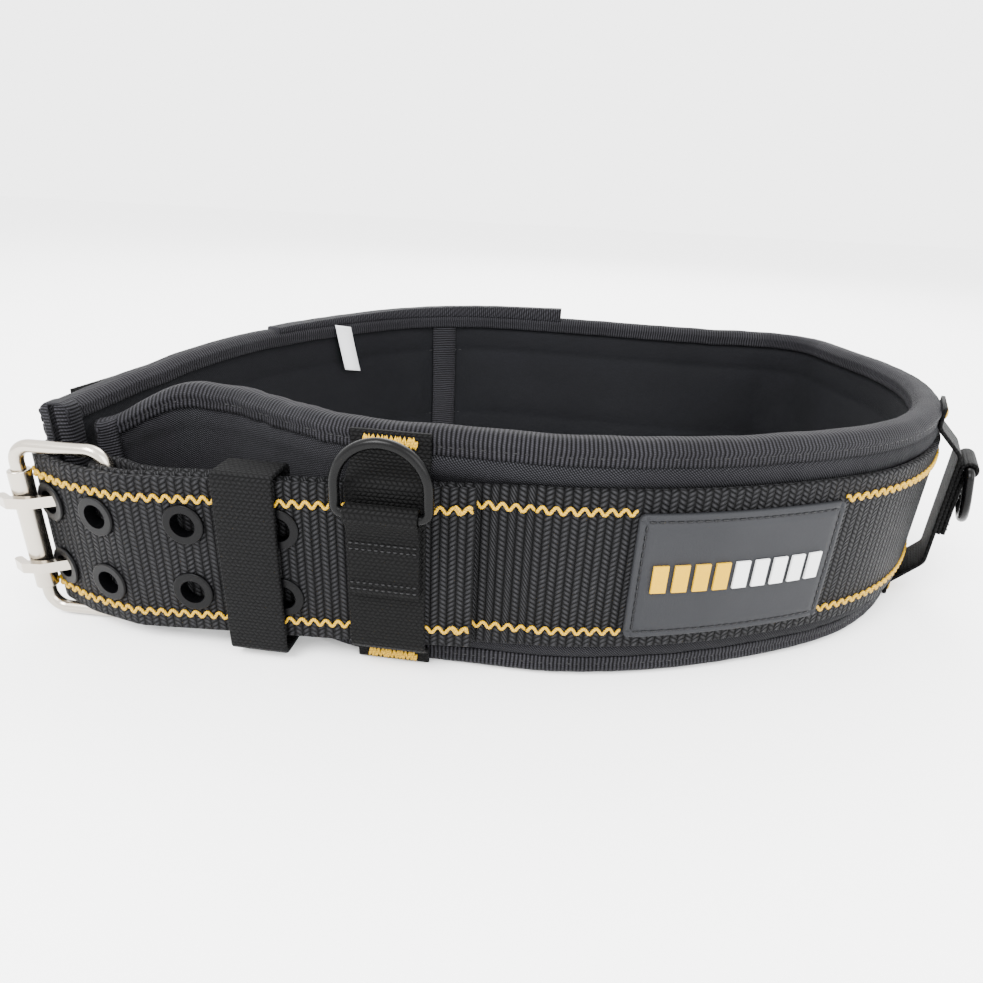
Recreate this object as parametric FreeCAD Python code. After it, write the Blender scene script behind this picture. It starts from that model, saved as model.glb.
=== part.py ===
import FreeCAD, Part
import math
import os
from FreeCAD import Vector

# Padded tool belt with a double-prong roller buckle, closed into a ring that stands on its lower edge.
# Frame: millimetres, Z up, origin on the resting plane under the middle of the belt.
# The buckled front lies along -Y, its buckle towards -X.  Heights are above the resting plane.
# "Depth" is measured from the belt webbing's outer face, positive towards the inside of the ring.

# --- driving dimensions -------------------------------------------------------------------------
PAD_HEIGHT = 75.0          # padded belt, edge to edge
WEB_WIDTH = 50.0           # two-inch webbing
WEB_THICK = 2.6
WEB_LOW = 12.5             # lower edge of the webbing on the padded belt
DROOP = 7.0                # how far the buckle end hangs below that
DROOP_START = -10.0        # X where the front webbing starts to droop
DROOP_END = -127.5         # X from where it is fully down
TAPE_THICK = 0.8           # binding tape
TAPE_LAP = 7.0             # how far the tape reaches onto the faces

COVER = (3.7, 4.4)         # depth of each layer of the padded belt
FOAM = (4.5, 10.3)
LINER = (10.4, 11.0)
BINDING = (2.8, 11.9)
LAYER_MARGIN = 0.9         # the layers stop this far short of the tape's fold

# Webbing outer face, seen from above, as (length, turn in degrees), anticlockwise from the front.
RING_START = (-10.0, -112.0)
RING = [(8.0, 6), (9.3, 5), (83.0, 20), (58.2, 30), (91.5, 43), (30.9, -4), (46.7, 86),
        (76.0, -11), (58.6, 7), (82.4, 51), (171.2, 36), (8.4, 6)]
CORNER_R = 9.3             # the webbing's turn just inside the roller
CORNER_TURN = 61.0
TONGUE = [(CORNER_R * math.radians(CORNER_TURN), CORNER_TURN), (11.0, 0),
          (21.3 * math.radians(12), 12), (13.0, 0), (26.3 * math.radians(12), 12), (101.0, 0)]
# The near end of the pad leaves the webbing and bows inwards (walked backwards from the ring).
PAD_LEAVES_AT = 40.0       # length before RING_START
NEAR_END = [(30.0, -27), (26.0, 0), (35.3, 47), (6.0, 0)]

# Buckle
WIRE_R = 2.0
BUCKLE_INNER = 51.6        # inside height of the frame
FRAME_CORNER = 5.5
ROLLER_R = 3.2
ROLLER_BORE = 2.1
ROLLER_LEN = 40.0
HEEL_PLAY = 0.1            # between heel bar and webbing fold
PRONG_THICK = 2.2
PRONG_WIDE = 3.4
PRONG_EYE_R = 3.8
PRONG_EYE_BORE = 2.05
PRONG_EYE_LEN = 5.0
FOLD_LEG = 38.0            # length of the stitched-back leg of the fold
FOLD_TURN_HIGH = 43.0      # the fold is gathered to clear the frame's corners
# Bends of a prong from its eyelet, as (outwards from the tongue's outer face, along the tongue).
PRONG_BENDS = [(-5.9, 2.55), (5.0, -4.15), (7.8, -8.8), (7.5, -12.8)]

# Eyelets
ROW_SPACING = 22.0
EYELET_PITCH = 28.0
EYELET_R = 6.2
EYELET_HOLE = 3.75
EYELET_PROUD = 0.8
FIRST_EYELET_X = -82.0
PRONG_COLUMN_S = 13.5      # length from the corner's start to the column the prongs are in
HEEL_S = 31.7              # length from the corner's start to beside the heel bar

# Keeper
KEEPER_X = -89.0
KEEPER_WIDE = 19.0
KEEPER_THICK = 1.4
KEEPER_PLAY = 1.0

# D-ring stations
STRAP_WIDE = 22.0
STRAP_THICK = 1.3
LOOP_WIDE = 20.0
LOOP_THICK = 2.6
LOOP_LOW = 29.0
BAR_HEIGHT = 54.0
RING_WIRE_R = 1.5
RING_HALF_WIDE = 12.5
RING_TALL = 20.0
RING_CORNER = 2.4
TACK_WIDE = 15.4
RING_PLAY = 0.1
LOOP_OUTER_R = 3.0
HANG_TILT = 10.0           # degrees a hanging ring stands off its loop
FRONT_NEAR_X = -49.5
# How far a strap stands off the webbing's outer face, and the heights where it leaves the lower
# binding, is clear of the webbing, starts back and reaches the upper binding.
STRAPS = {"front_near": (3.9, 5.2, 9.2, 61.6, 65.6),
          "back_near": (6.0, 6.0, 17.0, 58.4, 66.8),
          "back_far": (6.0, 6.0, 17.0, 58.4, 66.8),
          "front_far": (0.8, 5.2, 7.4, 63.2, 66.8)}
STATION_S = {"back_near": 170.0, "back_far": 309.0, "front_far": 697.0}

# Patch and label
PATCH_S = (28.0, 93.0)
PATCH_Z = (17.2, 56.2)
PATCH_THICK = 1.8
LABEL_S = 572.0
LABEL_SIZE = (10.0, 0.4, 22.0)
LINER_STRIP_S = {"liner_strip_near": 60.0, "liner_strip_far": 503.0}
LINER_STRIP_WIDE = 14.0
LAP_S = (434.0, 610.0)
LAP_RISE = (5.0, 1.0)      # height above the belt at its stepped end and at its other end
STITCH_INSET = 6.0         # wave stitching from the webbing's edges
STITCH_TALL = 2.6
STITCH_PROUD = 0.5
GAP = 0.05                 # between pieces that are sewn face to face


# --- plan paths ---------------------------------------------------------------------------------
class Path:
    """A chain of arcs and straight runs in plan, walked by length; depth is to its left."""

    def __init__(self, x, y, heading, segments):
        self.pieces = []
        self.length = 0.0
        for run, turn in segments:
            self.pieces.append((self.length, x, y, heading, run, turn))
            x, y, heading = self.step(x, y, heading, run, turn)
            self.length += run
        self.end = (x, y, heading)

    @staticmethod
    def step(x, y, heading, run, turn):
        a0 = math.radians(heading)
        if abs(turn) < 1e-9:
            return x + run * math.cos(a0), y + run * math.sin(a0), heading
        a1 = math.radians(heading + turn)
        r = run / math.radians(turn)
        return x + r * (math.sin(a1) - math.sin(a0)), y - r * (math.cos(a1) - math.cos(a0)), heading + turn

    def at(self, s, depth=0.0):
        """Plan point at length s and a depth, with the heading there."""
        found = self.pieces[0]
        for piece in self.pieces:
            if s >= piece[0] - 1e-9:
                found = piece
        start, x, y, heading, run, turn = found
        part = (s - start) / run
        x, y, heading = self.step(x, y, heading, s - start, turn * part)
        a = math.radians(heading)
        return x - depth * math.sin(a), y + depth * math.cos(a), heading

    def breaks(self, s0, s1):
        inner = [p[0] for p in self.pieces if s0 + 1e-6 < p[0] < s1 - 1e-6]
        return [s0] + inner + [s1]

    def edges(self, s0, s1, depth, z):
        """The path's arcs and lines between two lengths, shifted to a depth."""
        marks = self.breaks(s0, s1)
        found = []
        for a, b in zip(marks, marks[1:]):
            start = Vector(*self.at(a + 1e-7, depth)[:2], z)
            middle = Vector(*self.at((a + b) / 2, depth)[:2], z)
            finish = Vector(*self.at(b - 1e-7, depth)[:2], z)
            if found:
                start = found[-1].Vertexes[-1].Point
            chord = (finish - start)
            bow = (middle - start).cross(chord).Length / chord.Length
            if bow < 1e-4:
                found.append(Part.makeLine(start, finish))
            else:
                found.append(Part.Arc(start, middle, finish).toShape())
        return found


def strip(path, s0, s1, depth0, depth1, z0, z1):
    """An upright band that follows the path between two depths and two heights."""
    outer = path.edges(s0, s1, depth0, z0)
    inner = path.edges(s0, s1, depth1, z0)
    o_start, o_end = outer[0].Vertexes[0].Point, outer[-1].Vertexes[-1].Point
    i_start, i_end = inner[0].Vertexes[0].Point, inner[-1].Vertexes[-1].Point
    edges = outer + [Part.makeLine(o_end, i_end)] + inner + [Part.makeLine(i_start, o_start)]
    wire = Part.Wire(Part.__sortEdges__(edges))
    return Part.Face(wire).extrude(Vector(0, 0, z1 - z0))


def ribbon(path, s0, s1, depth0, depth1, low, high, step=7.0):
    """A band like strip, but its edges' heights are functions of the plan point and length."""
    stations = []
    for a, b in zip(path.breaks(s0, s1), path.breaks(s0, s1)[1:]):
        count = max(1, int(math.ceil((b - a) / step)))
        stations += [a + (b - a) * i / count for i in range(count)]
    stations.append(s1)
    wires = []
    for s in stations:
        ox, oy, _ = path.at(s, depth0)
        ix, iy, _ = path.at(s, depth1)
        mx, _, _ = path.at(s, 0.0)
        z0, z1 = low(mx, s), high(mx, s)
        corners = [Vector(ox, oy, z0), Vector(ix, iy, z0), Vector(ix, iy, z1), Vector(ox, oy, z1)]
        wires.append(Part.makePolygon(corners + corners[:1]))
    return Part.makeLoft(wires, True, True)


def box(x0, x1, y0, y1, z0, z1):
    return Part.makeBox(x1 - x0, y1 - y0, z1 - z0, Vector(x0, y0, z0))


def post(radius, z0, z1, x, y):
    return Part.makeCylinder(radius, z1 - z0, Vector(x, y, z0))


def join(shapes):
    whole = shapes[0]
    for shape in shapes[1:]:
        whole = whole.fuse(shape)
    return whole.removeSplitter()


MADE = {}


def save(name, shape):
    """Keeps a checked piece; write_all moves the pieces to the origin and writes them."""
    solids = shape.Solids
    assert solids and all(s.isValid() for s in solids), name
    MADE[name] = solids[0] if len(solids) == 1 else Part.makeCompound(solids)


def write_all():
    """Puts the origin on the resting plane under the middle of the whole object's box."""
    whole = FreeCAD.BoundBox()
    for shape in MADE.values():
        whole.add(shape.optimalBoundingBox(False, False))
    shift = Vector(-whole.Center.x, -whole.Center.y, -whole.ZMin)
    for name, shape in MADE.items():
        shape.translate(shift)
        shape.exportStep(os.path.join("parts", name + ".step"))
        print(name, len(shape.Solids), round(shape.Volume / 1000, 2), "cm3")
    print("size", whole.XLength, whole.YLength, whole.ZLength, "shift", shift)
    return shift


def reversed_start(x, y, heading, segments):
    """Walks segments backwards from a point; returns them as a forward path's start and segments."""
    back = heading + 180.0
    for run, turn in segments:
        x, y, back = Path.step(x, y, back, run, turn)
    return x, y, back - 180.0, [(run, -turn) for run, turn in reversed(segments)]


ring = Path(*RING_START, 0.0, RING)
tongue = Path(*ring.end, TONGUE)
start_x, start_y, start_heading, near_end = reversed_start(
    RING_START[0] - PAD_LEAVES_AT, RING_START[1], 0.0, NEAR_END)
NEAR_LEN = sum(run for run, turn in near_end)
pad = Path(start_x, start_y, start_heading, near_end + [(PAD_LEAVES_AT, 0)] + RING)
RING_AT = NEAR_LEN + PAD_LEAVES_AT      # length on the pad's path where the ring starts


# --- heights of the drooping webbing ------------------------------------------------------------
def droop(x):
    part = (DROOP_START - x) / (DROOP_START - DROOP_END)
    return DROOP * min(1.0, max(0.0, part))


TONGUE_STEP = 4.0          # between the tongue's cross-sections
LEFT_RUN = 38.0            # length over which the left side of the webbing settles to the droop


def belt_low(x, s):
    """Lower edge on the ring: level, then settling towards the buckle at its end."""
    settle = max(0.0, s - (ring.length - LEFT_RUN)) / LEFT_RUN
    return WEB_LOW - DROOP * settle


def front_low(x, s):
    return WEB_LOW - droop(x)


def raised(low, height):
    return lambda x, s: low(x, s) + height


# --- padded belt --------------------------------------------------------------------------------
def lap_top(x, s):
    """The lap stands highest at its stepped end and runs out along the belt."""
    part = (s - LAP_S[0]) / (LAP_S[1] - LAP_S[0])
    return PAD_HEIGHT + LAP_RISE[0] + (LAP_RISE[1] - LAP_RISE[0]) * part


PAD_END = pad.length
SEAM = 1.4                 # the cloth stops this far from the pad's ends, inside the end bindings


def pad_layer(depths, low=LAYER_MARGIN):
    return strip(pad, SEAM, PAD_END - SEAM, depths[0], depths[1], low, PAD_HEIGHT - low)


def edge_binding(z0, z1, mouth_low, mouth_high):
    tape = strip(pad, SEAM, PAD_END - SEAM, BINDING[0], BINDING[1], z0, z1)
    mouth = strip(pad, SEAM, PAD_END - SEAM, BINDING[0] + TAPE_THICK, BINDING[1] - TAPE_THICK,
                  mouth_low, mouth_high)
    return tape.cut(mouth)


def end_binding(s_out, s_in):
    s0, s1 = min(s_out, s_in), max(s_out, s_in)
    return strip(pad, s0, s1, BINDING[0], BINDING[1], 0.0, PAD_HEIGHT)


def padded_belt():
    save("outer_cover", pad_layer(COVER))
    save("foam_core", pad_layer(FOAM))
    save("inner_liner", pad_layer(LINER))
    inside_top = PAD_HEIGHT - TAPE_THICK
    tape_low = PAD_HEIGHT - TAPE_LAP
    save("top_binding", edge_binding(tape_low, PAD_HEIGHT, tape_low - 1, inside_top))
    save("bottom_binding", edge_binding(0.0, TAPE_LAP, TAPE_THICK, TAPE_LAP + 1))
    save("end_binding_near", end_binding(0.0, SEAM - GAP))
    save("end_binding_far", end_binding(PAD_END, PAD_END - SEAM + GAP))
    lap = ribbon(ring, LAP_S[0], LAP_S[1], BINDING[0] + 0.6, BINDING[1] - 0.6,
                 lambda x, s: PAD_HEIGHT + GAP, lap_top)
    save("binding_lap", lap)
    for name, s in LINER_STRIP_S.items():
        half = LINER_STRIP_WIDE / 2
        save(name, strip(pad, RING_AT + s - half, RING_AT + s + half, LINER[1] + GAP, LINER[1] + 1.25,
                         TAPE_LAP + 0.2, PAD_HEIGHT - TAPE_LAP - 0.2))


# --- buckle positions, worked out from the tongue's path -----------------------------------------
TONGUE_STRAIGHT = TONGUE[-1][0]
A1_START = tongue.length - TONGUE_STRAIGHT         # the tongue is straight from here on
MIDDLE_Z = WEB_LOW - DROOP + WEB_WIDTH / 2         # middle height of the webbing at the buckle
ROW_Z = (MIDDLE_Z - ROW_SPACING / 2, MIDDLE_Z + ROW_SPACING / 2)


def column_s(index):
    """Length on the tongue's path of an eyelet column; 0 is the column nearest the tongue's end."""
    if index == 3:
        return PRONG_COLUMN_S
    return A1_START + (FIRST_EYELET_X - DROOP_END) - index * EYELET_PITCH


MAIN_DEPTH = WEB_THICK + 0.6                       # front webbing behind the tongue
HEEL_DEPTH = MAIN_DEPTH + WEB_THICK + HEEL_PLAY + WIRE_R
HEEL_X, HEEL_Y, HEEL_HEADING = tongue.at(HEEL_S, HEEL_DEPTH)
CORNER_X, CORNER_Y, _ = tongue.at(0.0, CORNER_R)   # centre of the tongue's corner by the roller
ROLLER_AWAY = CORNER_R + 0.8 + ROLLER_R
ROLLER_DIRECTION = math.radians(220.0)
ROLLER_X = CORNER_X + ROLLER_AWAY * math.cos(ROLLER_DIRECTION)
ROLLER_Y = CORNER_Y + ROLLER_AWAY * math.sin(ROLLER_DIRECTION)
WIRE_Z = (MIDDLE_Z - BUCKLE_INNER / 2 - WIRE_R, MIDDLE_Z + BUCKLE_INNER / 2 + WIRE_R)


# --- webbing ------------------------------------------------------------------------------------
def fold_at_heel():
    """The webbing's turn round the heel bar and the leg stitched back behind the belt."""
    inner = WIRE_R + HEEL_PLAY
    outer = inner + WEB_THICK
    low = WEB_LOW - DROOP
    turn = post(outer, MIDDLE_Z - FOLD_TURN_HIGH / 2, MIDDLE_Z + FOLD_TURN_HIGH / 2, HEEL_X, HEEL_Y)
    a = math.radians(HEEL_HEADING)
    ahead = Vector(math.cos(a), math.sin(a), 0)
    side = Vector(-math.sin(a), math.cos(a), 0)
    centre = Vector(HEEL_X, HEEL_Y, low)
    far = centre + ahead * 20
    keep = [centre + side * 20, far + side * 20, far - side * 20, centre - side * 20]
    turn = turn.cut(Part.Face(Part.makePolygon(keep + keep[:1])).extrude(Vector(0, 0, WEB_WIDTH)))
    leg_start = centre + side * inner
    leg_far = Vector(*tongue.at(A1_START + 12.0, MAIN_DEPTH + WEB_THICK + GAP)[:2], low)
    run_far = leg_far + Vector(FOLD_LEG - 20, 0, 0)
    up = Vector(0, 1, 0) * WEB_THICK
    outline = [leg_start, leg_far, run_far, run_far + up, leg_far + up + Vector(0.4, 0, 0),
               centre + side * outer]
    leg = Part.Face(Part.makePolygon(outline + outline[:1])).extrude(Vector(0, 0, WEB_WIDTH))
    return turn.fuse(leg), inner


def belt_webbing():
    around = ribbon(ring, ring.length - LEFT_RUN, ring.length - 2.0, 0.0, WEB_THICK, belt_low,
                    raised(belt_low, WEB_WIDTH))
    around = around.fuse(strip(ring, 0.0, ring.length - LEFT_RUN, 0.0, WEB_THICK,
                               WEB_LOW, WEB_LOW + WEB_WIDTH))
    run_end = tongue.length + (RING_START[0] - tongue.end[0])
    front_path = Path(*ring.end, TONGUE[:-1] + [(run_end - A1_START, 0)])
    front = ribbon(front_path, HEEL_S, run_end, MAIN_DEPTH, MAIN_DEPTH + WEB_THICK, front_low,
                   raised(front_low, WEB_WIDTH))
    fold, inner = fold_at_heel()
    whole = join([around, front, fold])
    whole = whole.cut(post(inner, 0, PAD_HEIGHT, HEEL_X, HEEL_Y))
    for z in ROW_Z:
        slot_half = PRONG_EYE_LEN / 2 + 0.4
        slot = post(PRONG_EYE_R + 0.3, z - slot_half, z + slot_half, HEEL_X, HEEL_Y)
        clear = box(HEEL_X - 12, HEEL_X + 1, HEEL_Y - 3.6, HEEL_Y + 8, z - 2.9, z + 2.9)
        whole = whole.cut(slot).cut(clear)
    save("belt_webbing", whole)


def eyelet_frame(index):
    s = column_s(index)
    x, y, heading = tongue.at(s, 0.0)
    a = math.radians(heading)
    return Vector(x, y, 0), Vector(-math.sin(a), math.cos(a), 0)


def eyelet_z(index, row):
    x, _, _ = tongue.at(column_s(index), 0.0)
    return WEB_LOW + WEB_WIDTH / 2 - droop(x) + (row - 0.5) * ROW_SPACING


def eyelet_tongue():
    ends = ribbon(tongue, 0.0, tongue.length, 0.0, WEB_THICK, front_low,
                  raised(front_low, WEB_WIDTH), TONGUE_STEP)
    tip = ribbon(ring, ring.length - 2.0, ring.length, 0.0, WEB_THICK, belt_low,
                 raised(belt_low, WEB_WIDTH))
    shape = join([ends, tip])
    eyelets = []
    washers = []
    for index in range(4):
        point, inwards = eyelet_frame(index)
        for row in (0, 1):
            centre = point + Vector(0, 0, eyelet_z(index, row))
            hole = Part.makeCylinder(EYELET_HOLE + 0.55, 12, centre - inwards * 5, inwards)
            shape = shape.cut(hole)
            flange_at = centre - inwards * (EYELET_PROUD + GAP)
            flange = Part.makeCylinder(EYELET_R, EYELET_PROUD, flange_at, inwards)
            barrel_at = centre - inwards * 0.1
            barrel = Part.makeCylinder(EYELET_HOLE + 0.5, WEB_THICK + 0.5, barrel_at, inwards)
            bore = Part.makeCylinder(EYELET_HOLE, 12, centre - inwards * 5, inwards)
            rim = [e for e in flange.Edges if (e.CenterOfMass - centre).dot(inwards) < -EYELET_PROUD
                   and e.Length > 2 * math.pi * EYELET_R - 0.1]
            flange = flange.makeFillet(0.5, rim)
            eyelets.append(flange.fuse(barrel).cut(bore))
            washer_at = centre + inwards * (WEB_THICK + GAP)
            washer = Part.makeCylinder(EYELET_R - 0.4, 0.45, washer_at, inwards)
            washer = washer.cut(Part.makeCylinder(EYELET_HOLE + 0.55, 2, washer_at - inwards, inwards))
            washers.append(washer.cut(shape))
    save("eyelet_tongue", shape)
    save("eyelets", Part.makeCompound(eyelets))
    save("eyelet_washers", Part.makeCompound([w.Solids[0] for w in washers]))


def keeper():
    """A loop of narrow webbing round the tongue, the belt webbing and the fold's stitched leg."""
    y_out, y_in = tongue.end[1] - EYELET_PROUD - 0.4, tongue.end[1] + MAIN_DEPTH + 2 * WEB_THICK + 0.45
    x0, x1 = KEEPER_X - KEEPER_WIDE / 2, KEEPER_X + KEEPER_WIDE / 2
    low = WEB_LOW - droop(KEEPER_X) - 5.0
    high = WEB_LOW + WEB_WIDTH - droop(KEEPER_X) + KEEPER_PLAY + 0.6
    outside = box(x0, x1, y_out - KEEPER_THICK, y_in + KEEPER_THICK, low, high + KEEPER_THICK)
    upright = [e for e in outside.Edges if abs(e.Vertexes[0].Point.x - e.Vertexes[-1].Point.x) > 1]
    outside = outside.makeFillet(2.2, upright)
    inside = box(x0 - 1, x1 + 1, y_out, y_in, low + KEEPER_THICK, high)
    inner_edges = [e for e in inside.Edges if abs(e.Vertexes[0].Point.x - e.Vertexes[-1].Point.x) > 1]
    save("keeper_loop", outside.cut(inside.makeFillet(0.9, inner_edges)))


def wave_stitching():
    """Two raised lines of thread along the webbing, as plain bands."""
    belt_bands = []
    tongue_bands = []
    for offset in (STITCH_INSET, WEB_WIDTH - STITCH_INSET):
        low, high = offset - STITCH_TALL / 2, offset + STITCH_TALL / 2
        for s0, s1 in ((-16.0, PATCH_S[0] - 0.6), (PATCH_S[1] + 0.6, ring.length - LEFT_RUN)):
            first = pad if s0 < 0 else ring
            shift = RING_AT if s0 < 0 else 0.0
            belt_bands.append(strip(first, s0 + shift, s1 + shift, -STITCH_PROUD, -GAP,
                                    WEB_LOW + low, WEB_LOW + high))
        belt_bands.append(ribbon(ring, ring.length - LEFT_RUN, ring.length - 2.0, -STITCH_PROUD, -GAP,
                                 raised(belt_low, low), raised(belt_low, high)))
        tongue_bands.append(ribbon(tongue, TONGUE[0][0], tongue.length - 1.0, -STITCH_PROUD, -GAP,
                                   raised(front_low, low), raised(front_low, high), TONGUE_STEP))
    save("wave_stitching_belt", Part.makeCompound(belt_bands))
    save("wave_stitching_tongue", Part.makeCompound(tongue_bands))


# --- buckle -------------------------------------------------------------------------------------
def rounded_loop(corners, radius):
    """A closed wire of straight runs and arcs through rounded corners."""
    edges = []
    count = len(corners)
    trims = []
    for i in range(count):
        before, here, after = corners[i - 1], corners[i], corners[(i + 1) % count]
        to_before = (before - here).normalize()
        to_after = (after - here).normalize()
        half = to_before.getAngle(to_after) / 2
        reach = radius / math.tan(half)
        bisector = (to_before + to_after).normalize()
        middle = here + bisector * (radius / math.sin(half) - radius)
        trims.append((here + to_before * reach, middle, here + to_after * reach))
    for i in range(count):
        start, middle, finish = trims[i]
        edges.append(Part.Arc(start, middle, finish).toShape())
        edges.append(Part.makeLine(finish, trims[(i + 1) % count][0]))
    return Part.Wire(edges)


def wire_loop(corners, corner_radius, wire_radius):
    """A round wire bent into a closed loop; starts in the middle of its first run."""
    path = rounded_loop(corners, corner_radius)
    first = path.Edges[1]
    start = first.Vertexes[0].Point
    along = (first.Vertexes[-1].Point - start).normalize()
    section = Part.Wire(Part.makeCircle(wire_radius, start, along))
    edges = path.Edges[1:] + path.Edges[:1]
    return Part.Wire(edges).makePipeShell([section], True, True)


def buckle():
    z0, z1 = WIRE_Z
    corners = [Vector(HEEL_X, HEEL_Y, z0), Vector(HEEL_X, HEEL_Y, z1),
               Vector(ROLLER_X, ROLLER_Y, z1), Vector(ROLLER_X, ROLLER_Y, z0)]
    frame = wire_loop(corners, FRAME_CORNER, WIRE_R)
    save("buckle_frame", frame)
    tube = post(ROLLER_R, MIDDLE_Z - ROLLER_LEN / 2, MIDDLE_Z + ROLLER_LEN / 2, ROLLER_X, ROLLER_Y)
    tube = tube.makeFillet(0.5, [tube.Edges[0], tube.Edges[2]])
    save("buckle_roller", tube.cut(post(ROLLER_BORE, 0, PAD_HEIGHT, ROLLER_X, ROLLER_Y)))
    for name, z in zip(("prong_lower", "prong_upper"), ROW_Z):
        save(name, prong(z))


def prong(z):
    """Flat-sided prong: eye on the heel bar, out through its eyelet, tip over the roller."""
    x, y, heading = tongue.at(PRONG_COLUMN_S)
    a = math.radians(heading)
    line = [Vector(HEEL_X, HEEL_Y, 0)]
    for out, along in PRONG_BENDS:
        line.append(Vector(x + along * math.cos(a) + out * math.sin(a),
                           y + along * math.sin(a) - out * math.cos(a), 0))
    low = z - PRONG_WIDE / 2
    solids = []
    for p, q in zip(line, line[1:]):
        along = (q - p).normalize()
        side = Vector(-along.y, along.x, 0) * (PRONG_THICK / 2)
        outline = [p + side, q + side, q - side, p - side]
        outline = [Vector(v.x, v.y, low) for v in outline]
        solids.append(Part.Face(Part.makePolygon(outline + outline[:1])).extrude(Vector(0, 0, PRONG_WIDE)))
    for joint in line[1:]:
        solids.append(post(PRONG_THICK / 2, low, low + PRONG_WIDE, joint.x, joint.y))
    solids.append(post(PRONG_EYE_R, z - PRONG_EYE_LEN / 2, z + PRONG_EYE_LEN / 2, HEEL_X, HEEL_Y))
    whole = join(solids)
    return whole.cut(post(PRONG_EYE_BORE, z - 6, z + 6, HEEL_X, HEEL_Y))


# --- D-ring stations ----------------------------------------------------------------------------
def station(name):
    """Origin on the webbing's outer face, the direction along the belt, and the outward direction."""
    if name == "front_near":
        x, y, heading = FRONT_NEAR_X, RING_START[1], 0.0
    else:
        x, y, heading = ring.at(STATION_S[name])
    a = math.radians(heading)
    return Vector(x, y, 0), Vector(math.cos(a), math.sin(a), 0), Vector(math.sin(a), -math.cos(a), 0)


def prism(origin, along, out, profile, width):
    """A prism along the belt from a profile of (distance outwards, height) points."""
    points = [origin + out * o + Vector(0, 0, z) - along * (width / 2) for o, z in profile]
    return Part.Face(Part.makePolygon(points + points[:1])).extrude(along * width)


def bar_tack_boxes(origin, along, out, face, low):
    return prism(origin, along, out, [(face + GAP, low), (face + 0.75, low), (face + 0.75, low + 3.4),
                                      (face + GAP, low + 3.4)], TACK_WIDE)


def dring_station(name):
    origin, along, out = station(name)
    front = name == "front_near"
    edge_face = -BINDING[0] + 0.1                  # against the binding
    inner_face, bow_low, bow_high, top_low, top_high = STRAPS[name]
    t = STRAP_THICK
    profile = [(edge_face, 1.0), (edge_face, bow_low), (inner_face, bow_high), (inner_face, top_low),
               (edge_face, top_high), (edge_face, 74.0), (edge_face + t, 74.0),
               (edge_face + t, top_high + 0.4),
               (inner_face + t, top_low + 0.4), (inner_face + t, bow_high - 0.4),
               (edge_face + t, bow_low - 0.4), (edge_face + t, 1.0)]
    save("dring_strap_" + name, prism(origin, along, out, profile, STRAP_WIDE))
    face = inner_face + t
    bar_out = face + 0.1 + LOOP_OUTER_R
    bar = origin + out * bar_out + Vector(0, 0, BAR_HEIGHT)
    plate_in, plate_out, plate_high = face + 0.1, face + 0.1 + LOOP_THICK, BAR_HEIGHT - 1.7
    plate = prism(origin, along, out, [(plate_in, LOOP_LOW), (plate_out, LOOP_LOW),
                                       (plate_out, plate_high), (plate_in, plate_high)], LOOP_WIDE)
    sleeve = Part.makeCylinder(LOOP_OUTER_R, LOOP_WIDE, bar - along * (LOOP_WIDE / 2), along)
    bore = Part.makeCylinder(RING_WIRE_R + RING_PLAY, LOOP_WIDE + 2, bar - along * (LOOP_WIDE / 2 + 1), along)
    save("dring_loop_" + name, join([plate, sleeve]).cut(bore))
    save("dring_" + name, dring(bar, along, out, front))
    tacks = [bar_tack_boxes(origin, along, out, edge_face + t, z) for z in (1.4, 69.6)]
    return tacks, bar


def dring(bar, along, out, arch_up):
    """D-shaped ring: flat bar through the loop and a round arch, hanging or turned up."""
    tilt = math.radians(HANG_TILT)
    if arch_up:
        reach = Vector(0, 0, 1)
    else:
        reach = out * math.sin(tilt) - Vector(0, 0, math.cos(tilt))
    legs = RING_TALL - RING_HALF_WIDE
    corner = RING_CORNER
    half = RING_HALF_WIDE
    left, right = bar - along * half, bar + along * half
    foot = corner * (1 - math.sqrt(0.5))
    edges = [Part.makeLine(left + along * corner, right - along * corner),
             Part.Arc(right - along * corner, right - along * foot + reach * foot,
                      right + reach * corner).toShape(),
             Part.makeLine(right + reach * corner, right + reach * legs),
             Part.Arc(right + reach * legs, bar + reach * RING_TALL, left + reach * legs).toShape(),
             Part.makeLine(left + reach * legs, left + reach * corner),
             Part.Arc(left + reach * corner, left + along * foot + reach * foot,
                      left + along * corner).toShape()]
    section = Part.Wire(Part.makeCircle(RING_WIRE_R, left + along * corner, along))
    return Part.Wire(edges).makePipeShell([section], True, True)


STATIONS = ("front_near", "back_near", "back_far", "front_far")


def dring_stations():
    tacks = []
    hinges = {}
    for name in STATIONS:
        found, hinges["dring_" + name] = dring_station(name)
        tacks += found
    save("bar_tacks", Part.makeCompound(tacks))
    return hinges


# --- patch and label ----------------------------------------------------------------------------
def patch():
    plate = strip(ring, PATCH_S[0], PATCH_S[1], -PATCH_THICK - GAP, -GAP, PATCH_Z[0], PATCH_Z[1])
    save("rubber_patch", plate)
    bar_wide, bar_pitch, bar_low, bar_high = 4.4, 6.2, 32.5, 41.0
    first = (PATCH_S[0] + PATCH_S[1] - 9 * bar_pitch + (bar_pitch - bar_wide)) / 2
    face = -PATCH_THICK - 2 * GAP
    for name, indices in (("emblem_bars_yellow", range(0, 4)), ("emblem_bars_white", range(4, 9))):
        bars = [strip(ring, first + i * bar_pitch, first + i * bar_pitch + bar_wide, face - 0.6, face,
                      bar_low, bar_high) for i in indices]
        save(name, Part.makeCompound(bars))


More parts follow.
